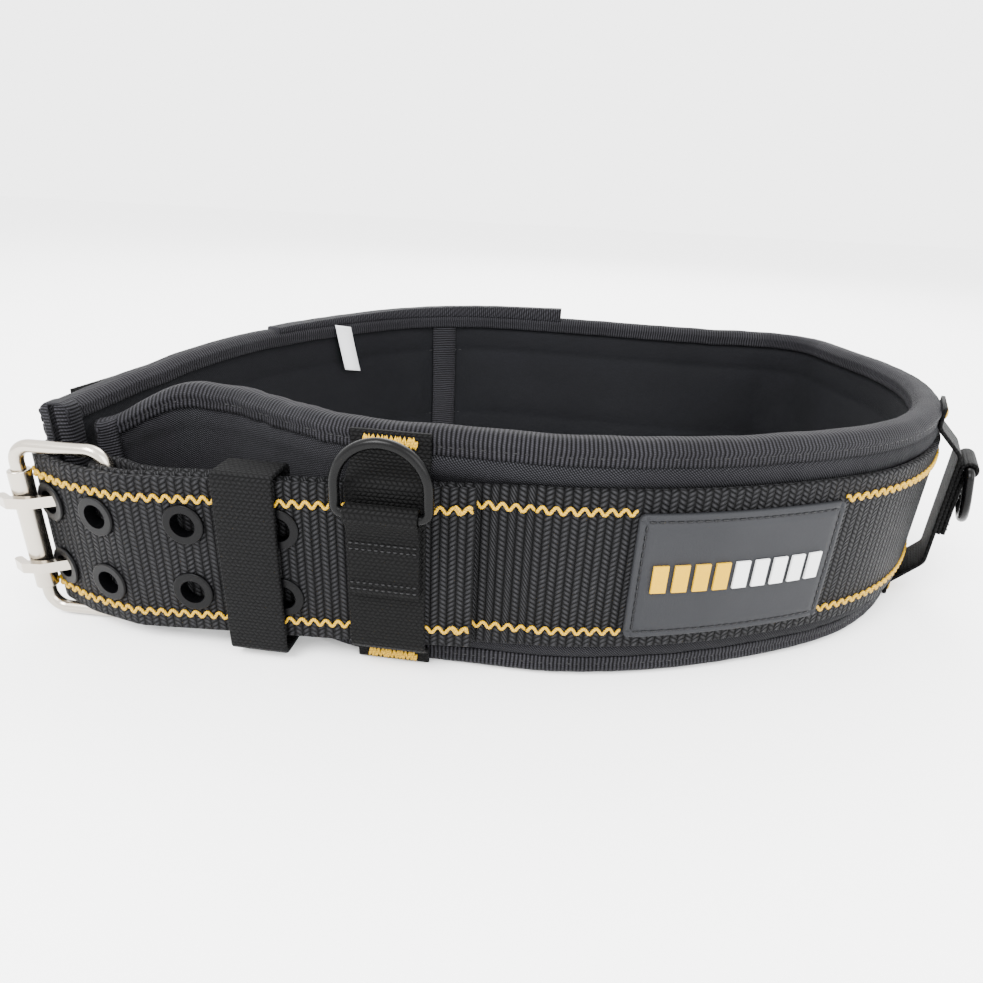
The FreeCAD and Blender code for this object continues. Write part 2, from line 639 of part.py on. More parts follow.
def care_label():
    x, y, heading = ring.at(LABEL_S, BINDING[1] + 0.5)
    label = Part.makeBox(*LABEL_SIZE, Vector(-LABEL_SIZE[0] / 2, 0, 0))
    label.rotate(Vector(0, 0, LABEL_SIZE[2]), Vector(0, 1, 0), 12)
    label.rotate(Vector(0, 0, 0), Vector(0, 0, 1), heading)
    label.translate(Vector(x, y, 50.5))
    save("care_label", label)


def main():
    os.makedirs("parts", exist_ok=True)
    padded_belt()
    belt_webbing()
    eyelet_tongue()
    keeper()
    wave_stitching()
    buckle()
    hinges = dring_stations()
    patch()
    care_label()
    hinges["heel_bar"] = Vector(HEEL_X, HEEL_Y, 0)
    hinges["roller"] = Vector(ROLLER_X, ROLLER_Y, 0)
    shift = write_all()
    for name, point in hinges.items():
        print("axis through", name, [round(v, 3) for v in point + shift])
    for name in STATIONS:
        print("axis of dring", name, [round(v, 5) for v in station(name)[1]])


main()
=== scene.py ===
import bpy
import bmesh
import math
from mathutils import Matrix, Vector, noise


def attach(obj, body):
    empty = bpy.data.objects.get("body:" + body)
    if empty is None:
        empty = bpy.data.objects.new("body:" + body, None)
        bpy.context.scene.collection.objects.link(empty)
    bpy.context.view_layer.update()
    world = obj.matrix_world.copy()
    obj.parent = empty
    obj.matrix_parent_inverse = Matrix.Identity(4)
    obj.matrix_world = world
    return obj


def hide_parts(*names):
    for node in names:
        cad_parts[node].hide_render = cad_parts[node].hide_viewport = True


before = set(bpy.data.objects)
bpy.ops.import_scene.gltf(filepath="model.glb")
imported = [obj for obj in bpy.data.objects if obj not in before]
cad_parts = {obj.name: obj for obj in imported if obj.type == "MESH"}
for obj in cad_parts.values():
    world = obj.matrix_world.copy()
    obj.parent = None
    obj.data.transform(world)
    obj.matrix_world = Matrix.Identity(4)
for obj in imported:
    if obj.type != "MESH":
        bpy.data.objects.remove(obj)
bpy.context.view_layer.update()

# Looks of the padded tool belt.  Lengths are millimetres in plan, as in the CAD, and become metres in
# build().  "Depth" is measured from the belt webbing's outer face, positive towards the inside.

SHIFT = (13.41531, 1.83628)
PAD_HEIGHT = 75.0
WEB_WIDTH = 50.0
WEB_THICK = 2.6
WEB_LOW = 12.5
DROOP = 7.0
DROOP_START = -10.0
DROOP_END = -127.5
LEFT_RUN = 38.0
MAIN_DEPTH = 3.2
RING_START = (-10.0, -112.0)
RING = [(8.0, 6), (9.3, 5), (83.0, 20), (58.2, 30), (91.5, 43), (30.9, -4), (46.7, 86),
        (76.0, -11), (58.6, 7), (82.4, 51), (171.2, 36), (8.4, 6)]
CORNER_R = 9.3
TONGUE = [(CORNER_R * math.radians(61), 61), (11.0, 0), (21.3 * math.radians(12), 12), (13.0, 0),
          (26.3 * math.radians(12), 12), (101.0, 0)]
PAD_LEAVES_AT = 40.0
NEAR_END = [(30.0, -27), (26.0, 0), (35.3, 47), (12.5, 0)]
EYELET_PITCH = 28.0
ROW_SPACING = 22.0
PRONG_COLUMN_S = 13.5
FIRST_EYELET_X = -82.0
TAPE_LAP = 7.0
STITCH_INSET = 6.0
HEEL_S = 31.7
WEB_WOBBLE_Z = 37.0
# How far the pad's top edge falls at each end, and over what length.
NEAR_FALL, NEAR_FALL_REACH = 13.0, 34.0
FAR_FALL, FAR_FALL_REACH = 6.0, 110.0


# --- plan paths -----------------------------------------------------------------------------------
class Path:
    """A chain of arcs and straight runs in plan, walked by length; depth is to its left."""

    def __init__(self, x, y, heading, segments):
        self.pieces = []
        self.length = 0.0
        for run, turn in segments:
            self.pieces.append((self.length, x, y, heading, run, turn))
            x, y, heading = self.step(x, y, heading, run, turn)
            self.length += run
        self.end = (x, y, heading)

    @staticmethod
    def step(x, y, heading, run, turn):
        a0 = math.radians(heading)
        if abs(turn) < 1e-9:
            return x + run * math.cos(a0), y + run * math.sin(a0), heading
        a1 = math.radians(heading + turn)
        r = run / math.radians(turn)
        return x + r * (math.sin(a1) - math.sin(a0)), y - r * (math.cos(a1) - math.cos(a0)), heading + turn

    def at(self, s, depth=0.0):
        found = self.pieces[0]
        for piece in self.pieces:
            if s >= piece[0] - 1e-9:
                found = piece
        start, x, y, heading, run, turn = found
        x, y, heading = self.step(x, y, heading, s - start, turn * (s - start) / run)
        a = math.radians(heading)
        return x - depth * math.sin(a), y + depth * math.cos(a), heading


ring = Path(*RING_START, 0.0, RING)
tongue = Path(*ring.end, TONGUE)
x, y, back = RING_START[0] - PAD_LEAVES_AT, RING_START[1], 180.0
for run, turn in NEAR_END:
    x, y, back = Path.step(x, y, back, run, turn)
near_end = [(run, -turn) for run, turn in reversed(NEAR_END)]
pad = Path(x, y, back - 180.0, near_end + [(PAD_LEAVES_AT, 0)] + RING)
RING_AT = pad.length - ring.length
A1_START = tongue.length - TONGUE[-1][0]


def column_s(index):
    if index == 3:
        return PRONG_COLUMN_S
    return A1_START + (FIRST_EYELET_X - DROOP_END) - index * EYELET_PITCH


def droop(x):
    return DROOP * min(1.0, max(0.0, (DROOP_START - x) / (DROOP_START - DROOP_END)))


def belt_low(s):
    return WEB_LOW - DROOP * max(0.0, s - (ring.length - LEFT_RUN)) / LEFT_RUN


def front_low(x):
    return WEB_LOW - droop(x)


def smooth(t):
    t = min(1.0, max(0.0, t))
    return t * t * (3 - 2 * t)


def wobble(s, z, size=0.35, reach=34.0):
    """Slow unevenness of sewn cloth, in mm, the same for pieces sewn to each other."""
    return size * noise.noise(Vector((s / reach, z / 40.0, 3.7)))


def fallen(s, z):
    """Height on the padded belt, whose top edge falls away towards both of its ends."""
    near = NEAR_FALL * smooth((NEAR_FALL_REACH - s) / NEAR_FALL_REACH) ** 1.3
    far = FAR_FALL * smooth((s - pad.length + FAR_FALL_REACH) / FAR_FALL_REACH)
    return z - (near + far) * (z / PAD_HEIGHT) ** 1.6


# --- mesh helpers ---------------------------------------------------------------------------------
def build(name, verts, faces, uvs, body, material):
    """A mesh from mm points; uvs has one (along, across) pair in mm for each face corner."""
    mesh = bpy.data.meshes.new(name)
    mesh.from_pydata([((p[0] + SHIFT[0]) / 1000, (p[1] + SHIFT[1]) / 1000, p[2] / 1000) for p in verts],
                     [], faces)
    layer = mesh.uv_layers.new(name="weave")
    flat = [v for corner in uvs for v in corner]
    layer.data.foreach_set("uv", flat)
    bm = bmesh.new()
    bm.from_mesh(mesh)
    bmesh.ops.recalc_face_normals(bm, faces=bm.faces)
    bm.to_mesh(mesh)
    bm.free()
    mesh.polygons.foreach_set("use_smooth", [True] * len(mesh.polygons))
    obj = bpy.data.objects.new(name, mesh)
    bpy.context.scene.collection.objects.link(obj)
    mesh.materials.append(material)
    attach(obj, body)
    return obj


def loft(name, rings, along, across, body, material, loop=False):
    """Skins closed rings of points.

    along has a value per ring, and across one per point plus the closing one.
    """
    count = len(rings[0])
    verts = [p for one in rings for p in one]
    faces = []
    uvs = []
    total = len(rings)
    for i in range(total if loop else total - 1):
        k = (i + 1) % total
        for j in range(count):
            n = (j + 1) % count
            faces.append((i * count + j, k * count + j, k * count + n, i * count + n))
            uvs += [(along[i], across[j]), (along[i + 1], across[j]), (along[i + 1], across[j + 1]),
                    (along[i], across[j + 1])]
    if not loop:
        for i in (0, total - 1):
            faces.append(tuple(i * count + j for j in range(count)))
            uvs += [(along[i] + 0.4, across[j]) for j in range(count)]
    return build(name, verts, faces, uvs, body, material)


def spread(start, stop, step):
    count = max(1, int(math.ceil(abs(stop - start) / step)))
    return [start + (stop - start) * i / count for i in range(count + 1)]


def rounded(d0, d1, z0, z1, r, step=6.0, points=3):
    """Outline of a rounded rectangle in depth and height, with points along its tall sides."""
    outline = []
    for cx, cz, start in ((d0 + r, z0 + r, 180), (d1 - r, z0 + r, 270), (d1 - r, z1 - r, 0),
                          (d0 + r, z1 - r, 90)):
        corner = [(cx + r * math.cos(math.radians(start + 90 * k / points)),
                   cz + r * math.sin(math.radians(start + 90 * k / points))) for k in range(points + 1)]
        if outline and abs(outline[-1][1] - corner[0][1]) > step:
            a, b = outline[-1], corner[0]
            for z in spread(a[1], b[1], step)[1:-1]:
                outline.append((a[0] + (b[0] - a[0]) * (z - a[1]) / (b[1] - a[1]), z))
        outline += corner
    a, b = outline[-1], outline[0]
    for z in spread(a[1], b[1], step)[1:-1]:
        outline.append((a[0], z))
    return outline


def lengths(outline):
    """Distance round a closed outline, one value per point plus the closing one."""
    total = [0.0]
    for a, b in zip(outline, outline[1:] + outline[:1]):
        total.append(total[-1] + math.hypot(b[0] - a[0], b[1] - a[1]))
    return total


def follow(name, path, s0, s1, outline, material, step, shape):
    """Carries an outline (depth, height) along a path; shape changes it on the way."""
    stations = spread(s0, s1, step)
    rings = []
    for s in stations:
        points = []
        for depth, z in shape(s, outline):
            x, y, _ = path.at(s, depth + wobble(s, z))
            points.append((x, y, z))
        rings.append(points)
    return loft(name, rings, stations, lengths(outline), "belt", material)


def tube(name, lines, radius, material, sides=6):
    """Threads: each line is a list of mm points, skinned as a thin tube with drawn-in ends."""
    verts = []
    faces = []
    uvs = []
    for line in lines:
        base = len(verts)
        for i, p in enumerate(line):
            here = Vector(p)
            along = (Vector(line[min(i + 1, len(line) - 1)]) - Vector(line[max(i - 1, 0)])).normalized()
            side = along.cross(Vector((0, 0, 1)))
            side = side.normalized() if side.length > 0.05 else along.orthogonal().normalized()
            up = side.cross(along)
            r = radius * 0.35 if i in (0, len(line) - 1) else radius
            for k in range(sides):
                a = 2 * math.pi * k / sides
                verts.append(here + side * (r * math.cos(a)) + up * (r * math.sin(a)))
        for i in range(len(line) - 1):
            for k in range(sides):
                n = (k + 1) % sides
                faces.append((base + i * sides + k, base + (i + 1) * sides + k, base + (i + 1) * sides + n,
                              base + i * sides + n))
                uvs += [(i * 0.3, k), (i * 0.3 + 0.3, k), (i * 0.3 + 0.3, k + 1), (i * 0.3, k + 1)]
        last = base + (len(line) - 1) * sides
        faces.append(tuple(base + k for k in range(sides)))
        faces.append(tuple(last + k for k in range(sides)))
        uvs += [(0, k) for k in range(sides)] * 2
    return build(name, verts, faces, uvs, "belt", material)


# --- materials ------------------------------------------------------------------------------------
class Nodes:
    """Short hand for building a shader from maths nodes."""

    def __init__(self, name):
        self.material = bpy.data.materials.new(name)
        self.material.use_nodes = True
        self.tree = self.material.node_tree
        self.shader = self.tree.nodes["Principled BSDF"]

    def link(self, value, socket):
        if isinstance(value, (int, float)):
            socket.default_value = value
        elif isinstance(value, tuple):
            socket.default_value = value if len(value) == len(socket.default_value) else (*value, 1.0)
        else:
            self.tree.links.new(value, socket)

    def maths(self, operation, a, b=0.0, c=0.0):
        node = self.tree.nodes.new("ShaderNodeMath")
        node.operation = operation
        for socket, value in zip(node.inputs, (a, b, c)):
            self.link(value, socket)
        return node.outputs[0]

    def uv(self):
        node = self.tree.nodes.new("ShaderNodeUVMap")
        node.uv_map = "weave"
        parts = self.tree.nodes.new("ShaderNodeSeparateXYZ")
        self.tree.links.new(node.outputs[0], parts.inputs[0])
        return parts.outputs[0], parts.outputs[1]

    def noise(self, scale, detail=2.0, roughness=0.5):
        """Noise in object space; scale is features per metre."""
        where = self.tree.nodes.new("ShaderNodeTexCoord")
        node = self.tree.nodes.new("ShaderNodeTexNoise")
        node.inputs["Scale"].default_value = scale
        node.inputs["Detail"].default_value = detail
        node.inputs["Roughness"].default_value = roughness
        self.tree.links.new(where.outputs["Object"], node.inputs["Vector"])
        return node.outputs["Fac"]

    def wave(self, value, pitch, phase=0.0):
        """0 in the gaps and 1 on the crests of ribs this far apart."""
        turned = self.maths("MULTIPLY_ADD", value, math.pi / pitch, phase)
        return self.maths("ABSOLUTE", self.maths("SINE", turned))

    def mix(self, factor, a, b):
        node = self.tree.nodes.new("ShaderNodeMix")
        node.data_type = "RGBA"
        self.link(factor, node.inputs["Factor"])
        self.link(a, node.inputs[6])
        self.link(b, node.inputs[7])
        return node.outputs[2]

    def finish(self, color, roughness, height=None, depth=0.0003, strength=1.0, metallic=0.0, sheen=0.0,
               specular=0.5):
        self.link(color, self.shader.inputs["Base Color"])
        self.link(roughness, self.shader.inputs["Roughness"])
        self.shader.inputs["Metallic"].default_value = metallic
        self.shader.inputs["Specular IOR Level"].default_value = specular
        self.shader.inputs["Sheen Weight"].default_value = sheen
        self.shader.inputs["Sheen Roughness"].default_value = 0.4
        if height is not None:
            bump = self.tree.nodes.new("ShaderNodeBump")
            bump.inputs["Strength"].default_value = strength
            bump.inputs["Distance"].default_value = depth
            self.link(height, bump.inputs["Height"])
            self.tree.links.new(bump.outputs[0], self.shader.inputs["Normal"])
        return self.material


def woven(name, dark, light, column, row, slant, depth, roughness=0.6, sheen=0.005):
    """Webbing: columns of yarn loops across the band, each column offset by half a loop, with painted shade:
    dark in the gaps between loops, light on their crests.
    """
    n = Nodes(name)
    u, v = n.uv()
    place = n.maths("DIVIDE", u, column)
    index = n.maths("FLOOR", place)
    part = n.maths("SUBTRACT", place, index)
    rib = n.maths("SINE", n.maths("MULTIPLY", part, math.pi))
    odd = n.maths("MODULO", index, 2.0)
    lean = n.maths("MULTIPLY", n.maths("SUBTRACT", odd, 0.5), 2.0)
    shift = n.maths("MULTIPLY", n.maths("SUBTRACT", part, 0.5), slant)
    shift = n.maths("MULTIPLY", shift, lean)
    phase = n.maths("MULTIPLY_ADD", odd, 0.5, shift)
    turn = n.maths("ADD", n.maths("DIVIDE", v, row), phase)
    loop = n.maths("ABSOLUTE", n.maths("SINE", n.maths("MULTIPLY", turn, math.pi)))
    height = n.maths("MULTIPLY", n.maths("POWER", rib, 0.7), n.maths("POWER", loop, 0.6))
    fibre = n.noise(2600.0, 2.0)
    # painted shade: the colour runs from dark in the gaps between loops to light on the loops' crests,
    # varied by fibre and slow tone noise
    shade = n.maths("MULTIPLY", n.maths("POWER", height, 1.8), n.maths("MULTIPLY_ADD", fibre, 0.9, 0.45))
    slow = n.noise(24.0, 2.0)
    shade = n.maths("MULTIPLY", shade, n.maths("MULTIPLY_ADD", slow, 0.7, 0.62))
    color = n.mix(shade, dark, light)
    bumped = n.maths("MULTIPLY_ADD", fibre, 0.12, height)
    return n.finish(color, roughness, bumped, depth, 1.0, sheen=sheen, specular=0.05)


def ribbed(name, dark, light, pitch, depth, fine=0.55, roughness=0.65, sheen=0.005):
    """Tape with ribs across it and small floats along each rib, with painted shade: dark between the ribs,
    light on their crests.
    """
    n = Nodes(name)
    u, v = n.uv()
    bend = n.maths("MULTIPLY", n.noise(90.0, 1.0), 1.2)
    rib = n.wave(n.maths("ADD", u, bend), pitch)
    floats = n.wave(v, fine, n.maths("MULTIPLY", u, 0.9))
    fibre = n.noise(3000.0, 1.0)
    height = n.maths("MULTIPLY", rib, n.maths("MULTIPLY_ADD", floats, 0.35, 0.65))
    # painted shade: the colour runs from dark between the ribs to light on the rib crests, varied by fibre
    # and slow tone noise
    shade = n.maths("MULTIPLY", n.maths("POWER", height, 2.0), n.maths("MULTIPLY_ADD", fibre, 0.8, 0.5))
    slow = n.noise(30.0, 2.0)
    shade = n.maths("MULTIPLY", shade, n.maths("MULTIPLY_ADD", slow, 0.8, 0.55))
    return n.finish(n.mix(shade, dark, light), roughness, height, depth, 1.0, sheen=sheen, specular=0.05)


def twill(name, dark, light, pitch, depth, roughness=0.7, sheen=0.005):
    """Plain bag cloth: small slanting floats in offset rows, with painted shade: dark between the floats,
    light on their crests.
    """
    n = Nodes(name)
    u, v = n.uv()
    bend = n.maths("MULTIPLY", n.noise(70.0, 1.0), 1.5)
    a = n.maths("ADD", n.maths("MULTIPLY_ADD", v, 1.0, u), bend)
    b = n.maths("SUBTRACT", v, n.maths("MULTIPLY", u, 0.35))
    height = n.maths("MULTIPLY", n.wave(a, pitch), n.maths("MULTIPLY_ADD", n.wave(b, pitch * 0.8), 0.6, 0.4))
    fibre = n.noise(2600.0, 1.0)
    # painted shade: the colour runs from dark between the floats to light on their crests, varied by fibre
    # and slow tone noise
    shade = n.maths("MULTIPLY", n.maths("POWER", height, 1.6), n.maths("MULTIPLY_ADD", fibre, 0.8, 0.5))
    slow = n.noise(20.0, 2.0)
    shade = n.maths("MULTIPLY", shade, n.maths("MULTIPLY_ADD", slow, 0.8, 0.55))
    return n.finish(n.mix(shade, dark, light), roughness, height, depth, 1.0, sheen=sheen, specular=0.04)


def thread(name, dark, light, roughness=0.45):
    """Twisted glossy thread, with painted shade: dark between the plies, light on their crests."""
    n = Nodes(name)
    u, v = n.uv()
    ply = n.wave(n.maths("MULTIPLY_ADD", v, 0.16, u), 0.42)
    fibre = n.noise(2200.0, 1.0)
    # painted shade: the colour runs from dark between the plies to light on the ply crests, varied by fibre
    # noise
    shade = n.maths("MULTIPLY_ADD", fibre, 0.5, n.maths("MULTIPLY", ply, 0.6))
    return n.finish(n.mix(shade, dark, light), roughness, ply, 0.00012, 0.7, sheen=0.0, specular=0.2)


def metal(name, color, roughness, scratch=0.12, metallic=1.0, bump=0.00002, specular=0.5):
    n = Nodes(name)
    fine = n.noise(900.0, 3.0, 0.6)
    slow = n.noise(60.0, 2.0)
    rough = n.maths("MULTIPLY_ADD", fine, scratch, roughness)
    shade = n.mix(slow, tuple(c * 0.86 for c in color), color)
    return n.finish(shade, rough, n.noise(350.0, 2.0), bump, 0.5, metallic=metallic, specular=specular)


def rubber(name, dark, light, roughness=0.55, grain=1400.0):
    n = Nodes(name)
    fine = n.noise(grain, 2.0)
    slow = n.noise(45.0, 2.0)
    color = n.mix(n.maths("MULTIPLY_ADD", slow, 0.7, n.maths("MULTIPLY", fine, 0.3)), dark, light)
    return n.finish(color, n.maths("MULTIPLY_ADD", fine, 0.15, roughness), fine, 0.00006, 0.6, specular=0.10)


# In the webbing, tape, cloth and thread finishes the first colour is painted shade in the weave's gaps and
# the second the lit crests.
WEBBING = woven("webbing_weave", (0.0003, 0.0003, 0.0004), (0.0175, 0.0175, 0.0190), 2.4, 1.5, 0.9, 0.0007)
NARROW = woven("strap_weave", (0.0004, 0.0004, 0.0004), (0.0042, 0.0042, 0.0043), 1.15, 1.5, 0.5, 0.00022)
TAPE = ribbed("binding_tape", (0.0004, 0.0004, 0.0005), (0.0250, 0.0245, 0.0285), 1.22, 0.00035)
CLOTH = twill("pad_cloth", (0.0005, 0.0005, 0.0006), (0.0250, 0.0250, 0.0285), 0.85, 0.00025)
LINER = twill("liner_cloth", (0.0017, 0.0018, 0.0021), (0.0098, 0.0101, 0.0120), 0.7, 0.00010)
GOLD = thread("gold_thread", (0.11, 0.045, 0.0004), (0.50, 0.30, 0.008))
BLACK_THREAD = thread("black_thread", (0.001, 0.001, 0.0012), (0.010, 0.010, 0.011))
NICKEL = metal("nickel", (0.44, 0.40, 0.34), 0.17)
BLACK_METAL = metal("black_metal", (0.0008, 0.0008, 0.0009), 0.22, metallic=0.0, specular=0.10)
EYELET_METAL = metal("eyelet_metal", (0.0008, 0.0008, 0.0010), 0.34, metallic=0.0, specular=0.08)
PATCH = rubber("patch_rubber", (0.0100, 0.0104, 0.0118), (0.0165, 0.0170, 0.0188))
YELLOW = rubber("emblem_yellow", (0.40, 0.225, 0.0004), (0.45, 0.26, 0.0006))
WHITE = rubber("emblem_white", (0.55, 0.55, 0.55), (0.62, 0.62, 0.62))
LABEL = twill("label_cloth", (0.50, 0.50, 0.52), (0.70, 0.70, 0.70), 0.35, 0.00004, roughness=0.5)


def give(node, material):
    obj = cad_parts[node]
    obj.data.materials.clear()
    obj.data.materials.append(material)


# --- padded belt ----------------------------------------------------------------------------------
GROOVES = (19.6, 55.4)
STRIPS = {"liner_strip_near": 60.0, "liner_strip_far": 503.0}
STRIP_HALF = 7.0
LINER_DEPTH = 9.3
WIDE_CROWN, NARROW_CROWN = 2.7, 1.5


def liner_depth(s, z):
    """Depth of the liner's surface: crowned panels between sewn grooves and the upright strips."""
    low, high = TAPE_LAP + 0.5, PAD_HEIGHT - TAPE_LAP - 0.5
    edges = (low,) + GROOVES + (high,)
    crown = 0.0
    for a, b in zip(edges, edges[1:]):
        if a <= z <= b:
            part = (z - a) / (b - a)
            crown = (4 * part * (1 - part)) ** 0.45 * (WIDE_CROWN if b - a > 20 else NARROW_CROWN)
    pinch = 1.0
    for middle in STRIPS.values():
        away = abs(s - RING_AT - middle) - STRIP_HALF
        pinch = min(pinch, smooth(away / 9.0) if away > 0 else 0.0)
    pinch = min(pinch, smooth((s - 2.0) / 8.0), smooth((pad.length - 2.0 - s) / 8.0))
    wrinkle = 0.35 * noise.noise(Vector((s / 16.0, z / 11.0, 9.0))) * min(1.0, crown)
    return LINER_DEPTH + crown * (0.25 + 0.75 * pinch) + wrinkle


def cover_depth(s, z):
    """Depth of the outer cloth: a soft roll between the webbing and each binding."""
    roll = 0.0
    for a, b in ((TAPE_LAP - 0.6, WEB_LOW + 1.2),
                 (PAD_HEIGHT - WEB_LOW - 1.2, PAD_HEIGHT - TAPE_LAP + 0.6)):
        if a < z < b:
            part = (z - a) / (b - a)
            roll = math.sqrt(4 * part * (1 - part))
    loose = smooth((RING_AT - 20.0 - s) / 40.0)
    plump = 0.5 * math.sin(math.pi * min(1.0, max(0.0, (z - 8) / 59.0))) * loose
    crease = 0.5 * noise.noise(Vector((s / 6.0 + z / 9.0, z / 20.0, 1.3))) * roll
    return 3.9 - (1.9 - 1.2 * loose) * roll - plump + crease


def pad_section(s, outline):
    """Depths for the outline's heights; its first half is the cover, the other the liner."""
    half = len(outline) // 2
    points = []
    for i, (_, z) in enumerate(outline):
        points.append((cover_depth(s, z) if i < half else liner_depth(s, z), fallen(s, z)))
    return points


pad_heights = spread(1.6, PAD_HEIGHT - 1.6, 1.6)
pad_outline = [(3.7, z) for z in pad_heights] + [(10.4, z) for z in reversed(pad_heights)]
pad_body = follow("pad_body", pad, 1.2, pad.length - 1.2, pad_outline, CLOTH, 2.5, pad_section)
pad_body.data.materials.append(LINER)
# each ring's faces run up the cover and back down the liner
quads = len(pad_outline)
half = quads // 2
for i, face in enumerate(pad_body.data.polygons):
    if half - 1 <= i % quads < quads - 1:
        face.material_index = 1
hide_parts("outer_cover", "foam_core", "inner_liner")


def tape_outline(high, lap=TAPE_LAP, thick=0.8, d0=2.75, d1=11.3, r=3.4):
    """A folded tape's outline over the pad's edge, as if for the lower edge."""
    outer = []
    inner = []
    for z in spread(lap, r, 1.4)[:-1]:
        outer.append((d0, z))
        inner.append((d0 + thick, z))
    for k in range(7):
        a = math.radians(180 + 90 * k / 6)
        outer.append((d0 + r + r * math.cos(a), r + r * math.sin(a)))
        inner.append((d0 + r + (r - thick) * math.cos(a), r + (r - thick) * math.sin(a)))
    for k in range(7):
        a = math.radians(270 + 90 * k / 6)
        outer.append((d1 - r + r * math.cos(a), r + r * math.sin(a)))
        inner.append((d1 - r + (r - thick) * math.cos(a), r + (r - thick) * math.sin(a)))
    for z in spread(r, lap, 1.4)[1:]:
        outer.append((d1, z))
        inner.append((d1 - thick, z))
    outline = outer + list(reversed(inner))
    if high:
        outline = [(d, PAD_HEIGHT - z) for d, z in outline]
    return outline


def tape_shape(high):
    """Puckers the tape and draws it in along its stitch line, 2.4 mm from its edge."""
    def shape(s, outline):
        middle = 7.0
        hump = smooth(1 - abs(s - 62.0) / 48.0) if high else 0.0
        points = []
        for d, z in outline:
            height = PAD_HEIGHT - z if high else z
            side = math.copysign(1.0, d - middle)
            seam = math.exp(-((height - (TAPE_LAP - 2.4)) / 0.9) ** 2)
            pucker = 0.28 * noise.noise(Vector((s / 5.0, height / 6.0, 5.0 if high else 8.0)))
            swell = 0.5 * math.sin(math.pi * min(1.0, height / TAPE_LAP)) if height > 2 else 0.0
            d = d - side * (0.55 * seam - swell - pucker * (0.5 + hump * 2.5))
            rise = (0.35 + hump) * noise.noise(Vector((s / 14.0, 2.0, 4.0))) if high else 0.0
            points.append((d, fallen(s, z) + rise))
        return points
    return shape


for name, high in (("binding_top", True), ("binding_bottom", False)):
    tape = follow(name, pad, 0.7, pad.length - 0.7, tape_outline(high), TAPE, 1.5, tape_shape(high))
    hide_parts("top_binding" if high else "bottom_binding")

# How far in from the pad's end each outline of an end tape sits, and how much it stands off the pad.
END_TAPE = ((0.0, -3.2), (0.35, -1.2), (1.2, -0.2), (2.6, 0.25), (4.5, 0.3), (6.6, 0.3), (7.2, 0.1),
            (7.25, -0.6))
for node, s_tip, sign in (("end_binding_near", -0.1, 1), ("end_binding_far", pad.length + 0.1, -1)):
    rings = []
    for inset, grow in END_TAPE:
        outline = rounded(2.5 - grow, 11.5 + grow, 0.4, PAD_HEIGHT - 0.4, 2.2, 2.0)
        s = s_tip + sign * inset
        rings.append([(*pad.at(s, d + wobble(s, z, 0.2))[:2], fallen(s, z)) for d, z in outline])
    across = lengths(outline)
    cap = loft(node.replace("end_binding", "end_tape"), rings, across[:len(rings)], across, "belt", TAPE)
    # ribs run across the tape, which stands upright here
    layer = cap.data.uv_layers["weave"]
    for loop in layer.data:
        loop.uv = (loop.uv[1], loop.uv[0])
    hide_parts(node)


LAP_S = (434.0, 610.0)
LAP_MIDDLE = 7.3


def lap_top(s):
    """How far the lap stands above the top binding, lower towards its far end."""
    return 5.0 - 4.0 * (s - LAP_S[0]) / (LAP_S[1] - LAP_S[0])


rings = []
marks = spread(LAP_S[0] + 0.2, LAP_S[1] - 0.2, 1.5)
shape_points = rounded(3.3, 11.3, 0.0, 1.0, 0.45, 3.0, 4)
for s in marks:
    top = lap_top(s)
    points = []
    for d, z in shape_points:
        narrow = 1.0 - 0.12 * z
        points.append((*ring.at(s, LAP_MIDDLE + (d - LAP_MIDDLE) * narrow + wobble(s, PAD_HEIGHT))[:2],
                       PAD_HEIGHT - 1.5 + z * (top + 1.4) + 0.15 * noise.noise(Vector((s / 9, d, 1)))))
    rings.append(points)
lap = loft("top_lap", rings, marks, lengths(shape_points), "belt", TAPE)
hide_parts("binding_lap")

# A strip's outline, along the belt and inwards from the liner.
STRIP_SECTION = ((-7.2, 0.1), (-6.9, 0.55), (-4.0, 0.85), (0.0, 1.0), (4.0, 0.85), (6.9, 0.55), (7.2, 0.1),
                 (6.0, -0.1), (0.0, -0.1), (-6.0, -0.1))
for name, middle in STRIPS.items():
    rings = []
    marks = spread(TAPE_LAP - 0.5, PAD_HEIGHT - TAPE_LAP + 0.5, 2.0)
    for z in marks:
        points = []
        for u, d in STRIP_SECTION:
            s = RING_AT + middle + u
            base = 9.9 + 0.9 * math.sin(math.pi * (z - 7) / 61.0)
            points.append((*pad.at(s, base + d + wobble(s, z))[:2], z))
        rings.append(points)
    strip_across = lengths([(u, 0) for u, _ in STRIP_SECTION])
    strip = loft(name.replace("liner", "lining"), rings, marks, strip_across, "belt", TAPE)
    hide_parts(name)


# --- webbing --------------------------------------------------------------------------------------
def band(name, stations):
    """The wide webbing; stations are (outer x, outer y, inward x, inward y, lower edge, length)."""
    rings = []
    outline = rounded(0.0, WEB_THICK, 0.0, WEB_WIDTH, 0.75, 5.0)
    for ox, oy, ix, iy, low, s in stations:
        rings.append([(ox + ix * d, oy + iy * d, low + z) for d, z in outline])
    return loft(name, rings, [one[5] for one in stations], lengths(outline), "belt", WEBBING)


def along_belt(x, s):
    return belt_low(s)


def along_front(x, s):
    return front_low(x)


def stations_on(path, s0, s1, depth, low, step=2.0):
    found = []
    for s in spread(s0, s1, step):
        x, y, heading = path.at(s, depth + wobble(s, WEB_WOBBLE_Z))
        a = math.radians(heading)
        found.append((x, y, -math.sin(a), math.cos(a), low(x, s), s))
    return found


run_end = tongue.length + (RING_START[0] - tongue.end[0])
front_path = Path(*ring.end, TONGUE[:-1] + [(run_end - A1_START, 0)])
HEEL_WIRE_R = 2.1
FOLD_R = 4.7
INNER_LEG = 38.0
HEEL = front_path.at(HEEL_S, MAIN_DEPTH + WEB_THICK + HEEL_WIRE_R)
FRONT_AT = -(run_end - HEEL_S)
stations = []
TURN = math.pi * FOLD_R
